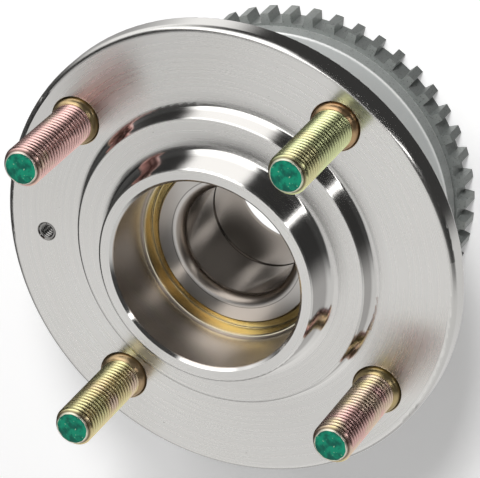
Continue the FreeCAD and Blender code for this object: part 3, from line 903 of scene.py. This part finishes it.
def stud_mesh():
    shape = bmesh.new()
    steps = [
        (HEAD_R - HEAD_EDGE, STUD_HEAD),
        (HEAD_R - 0.18 * MM, STUD_HEAD + 0.18 * MM),
        (HEAD_R, STUD_HEAD + HEAD_EDGE),
        (HEAD_R, FLANGE_BACK),
        (SHANK_R, FLANGE_BACK),
        (SHANK_R, SHANK_TOP),
        (SHANK_R - 0.06 * MM, SHANK_TOP + 0.40 * MM),
        (SHANK_R - 0.22 * MM, SHANK_TOP + 0.80 * MM),
        (SHANK_R - 0.45 * MM, SHANK_TOP + 1.15 * MM),
        (SHANK_R - 0.73 * MM, SHANK_TOP + 1.45 * MM),
        (THREAD_R, THREAD_START - 0.25 * MM),
        (THREAD_R, THREAD_START),
    ]
    rings = [ring(shape, radius, height) for radius, height in steps]
    join_rows(shape, rings)
    shape.faces.new(list(reversed(rings[0][:-1])))
    join_rows(shape, helical_rows(
        shape, THREAD_START, THREAD_END, PITCH, STUD_PROFILE, SIDES, thread_radius))
    tip = ring(shape, TIP_R, THREAD_END)
    inner = ring(shape, 0.5 * TIP_R, THREAD_END)
    join_rows(shape, [tip, inner])
    shape.faces.new(inner[:-1])
    merge_corners(shape)
    return smooth_mesh(shape, "threaded_stud")


def stud_centre(node):
    low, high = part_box(node)
    return Vector(((low.x + high.x) / 2, (low.y + high.y) / 2, 0))


print("thread depth", round((THREAD_R - ROOT_R) / MM, 2), "mm")

# %% [markdown]
# ### Each stud's own colour
# Plated in one barrel, the four studs still came out different: one mostly pink, one
# yellow green, one gold, and one pink over gold. Their collars are darker, copper or
# bronze. The grooves of the thread hold dirt and get painted shade as well, so the
# colour darkens with the depth, which is what makes a fine thread readable from a
# distance.

# %% Stud colours
PINK = (0.88, 0.56, 0.53)
ROSE = (0.84, 0.66, 0.52)
LIME = (0.80, 0.86, 0.47)
YELLOW = (0.84, 0.80, 0.44)
GOLD = (0.84, 0.72, 0.40)
COPPER = (0.62, 0.36, 0.20)
BRONZE = (0.56, 0.44, 0.20)
BROWN = (0.50, 0.34, 0.20)
STUD_LOOKS = {
    "wheel_stud_1": ((LIME, LIME, YELLOW), COPPER),
    "wheel_stud_2": ((ROSE, PINK, PINK), BRONZE),
    "wheel_stud_3": ((YELLOW, GOLD, ROSE), BROWN),
    "wheel_stud_4": ((GOLD, ROSE, PINK), BRONZE),
}


def stud_zinc(name, tints, collar_tint, seed):
    made, graph = new_material(name)
    at = around_axis(graph)
    film, fleck = zinc_film(graph, at.place, tints, seed, 0.10)
    # Dirt and painted shade: darker towards the roots of the thread.
    groove_dirt_and_shade = 1 - graph.smooth(at.radius, 5.15, 5.85)
    threaded = graph.smooth(at.z, THREAD_START / MM - 0.1, THREAD_START / MM + 0.1)
    # Near the tip the zinc is worn paler, with a painted highlight at the chamfer.
    worn_and_highlit_tip = graph.smooth(at.z, THREAD_END / MM - 0.5, THREAD_END / MM - 0.05)
    film = graph.mix(0.80 * groove_dirt_and_shade * threaded * (1 - worn_and_highlit_tip), film, (0.13, 0.085, 0.06))
    film = graph.mix(0.85 * (1 - threaded), film, collar_tint)
    film = graph.mix(0.8 * worn_and_highlit_tip, film, (0.92, 0.90, 0.80))
    finish_surface(graph, {
        "Base Color": film,
        "Metallic": 1.0,
        "Roughness": 0.24 + 0.02 * fleck + 0.05 * (1 - threaded) + 0.15 * groove_dirt_and_shade,
    }, bump=fleck, depth=0.001 * MM)
    return made


print("studs with a look of their own:", len(STUD_LOOKS))

# %% Studs in place
SEED_STEP = 7.0

for number, node in enumerate(STUDS):
    stud = new_object("threaded_stud_%d" % (number + 1), stud_mesh())
    stud.location = stud_centre(node)
    stud.data.set_sharp_from_angle(angle=SHARP_ANGLE)
    tints, collar_tint = STUD_LOOKS[node]
    stud.data.materials.append(stud_zinc("zinc_" + node, tints, collar_tint, SEED_STEP * number))
    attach(stud, "hub")
    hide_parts(node)
    place = [round(value / MM, 1) for value in stud.location]
    print(stud.name, "vertices", len(stud.data.vertices), "at", place)

# %% [markdown]
# ## Painted tips
# A dab of green paint marks each stud's tip. It is a thin pool with a crowned, uneven
# surface that stops just short of the edge, so a low dome with a wavy rim is enough.

# %% Green paint
def green_paint():
    made, graph = new_material("green_paint")
    place = around_axis(graph).place
    patch = graph.noise(place, 0.35, 3.0)
    ripple = graph.noise(place, 1.1, 3.0)
    # Painted highlights: small pale glints on the paint.
    painted_glint = graph.smooth(graph.noise(place, 1.3, 1.0), 0.70, 0.74)
    paint = graph.mix(graph.smooth(patch, 0.38, 0.62), (0.002, 0.095, 0.066), (0.005, 0.25, 0.145))
    paint = graph.mix(0.7 * painted_glint, paint, (0.50, 0.62, 0.42))
    finish_surface(graph, {
        "Base Color": paint,
        "Roughness": 0.22 + 0.15 * ripple,
        "Specular IOR Level": 0.2,
    }, bump=ripple, depth=0.09 * MM)
    return made


GREEN_PAINT = green_paint()
print("the tips wear", GREEN_PAINT.name)

# %% Dabs of paint
PAINT_R = 0.975 * TIP_R
RIM_WANDER = 0.011


def paint_mesh(seed):
    """A shallow dome in rings, with a rim that wanders in and out."""
    draw = random.Random(seed)
    waves = [(count, draw.uniform(-1, 1), draw.uniform(0, 6.28)) for count in (3, 5, 8, 13)]
    shape = bmesh.new()
    rings = []
    for share in (1.0, 0.93, 0.8, 0.6, 0.35, 0.12):
        corners = []
        for i in range(SIDES):
            turn = 2 * math.pi * i / SIDES
            wander = sum(
                RIM_WANDER * amount * math.sin(count * turn + start)
                for count, amount, start in waves)
            radius = PAINT_R * share * (1 + wander * share)
            crown = 0.86 + 0.14 * math.sin(3 * turn + seed) * share
            height = PAINT_HEIGHT * (1 - share ** 4) * crown
            corners.append(corner(shape, radius, i, SIDES, height))
        rings.append(corners + corners[:1])
    join_rows(shape, rings)
    shape.faces.new(rings[-1][:-1])
    return smooth_mesh(shape, "tip_paint")


for number, node in enumerate(STUDS):
    paint = new_object("tip_paint_%d" % (number + 1), paint_mesh(number + 1))
    paint.location = stud_centre(node) + Vector((0, 0, THREAD_END))
    paint.data.materials.append(GREEN_PAINT)
    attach(paint, "hub")
    print(paint.name, "width", round(max(paint.dimensions) / MM, 2), "mm")

# %% [markdown]
# ## Tapped hole
# The small hole in the flange is tapped for the screw that holds the brake disc. The
# solid has a plain core hole, so a thin threaded sleeve lines it. Its ridges stand in
# from the wall of the hole, and its faces look towards the hole's axis.

# %% Tapped sleeve
SCREW_CORE_R = 2.5 * MM
SCREW_PITCH = 1.0 * MM
SCREW_SIDES = 40
RIDGE = 0.42 * MM
OFF_THE_WALL = 0.004 * MM
SHORT_OF_THE_END = 0.3 * MM
TAPPED_PROFILE = [(0.0, 0.0), (0.18, 0.0), (0.42, RIDGE), (0.58, RIDGE), (0.82, 0.0)]


def tapped_radius(height, inwards):
    """The same at every height: the hole's wall, less the ridge."""
    return SCREW_CORE_R - OFF_THE_WALL - inwards


def tapped_mesh():
    low_end = FLANGE_BACK + SHORT_OF_THE_END
    high_end = FLANGE_FACE - SHORT_OF_THE_END
    shape = bmesh.new()
    rows = helical_rows(
        shape, low_end, high_end, SCREW_PITCH, TAPPED_PROFILE, SCREW_SIDES, tapped_radius)
    join_rows(shape, rows, towards_axis=True)
    merge_corners(shape)
    return smooth_mesh(shape, "tapped_thread")


tapped = new_object("tapped_thread", tapped_mesh())
tapped.location = Vector((SCREW_X, SCREW_Y, 0)) * MM
tapped.data.set_sharp_from_angle(angle=SHARP_ANGLE)
tapped.data.materials.append(TAPPED_STEEL)
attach(tapped, "hub")
print("tapped thread vertices", len(tapped.data.vertices))
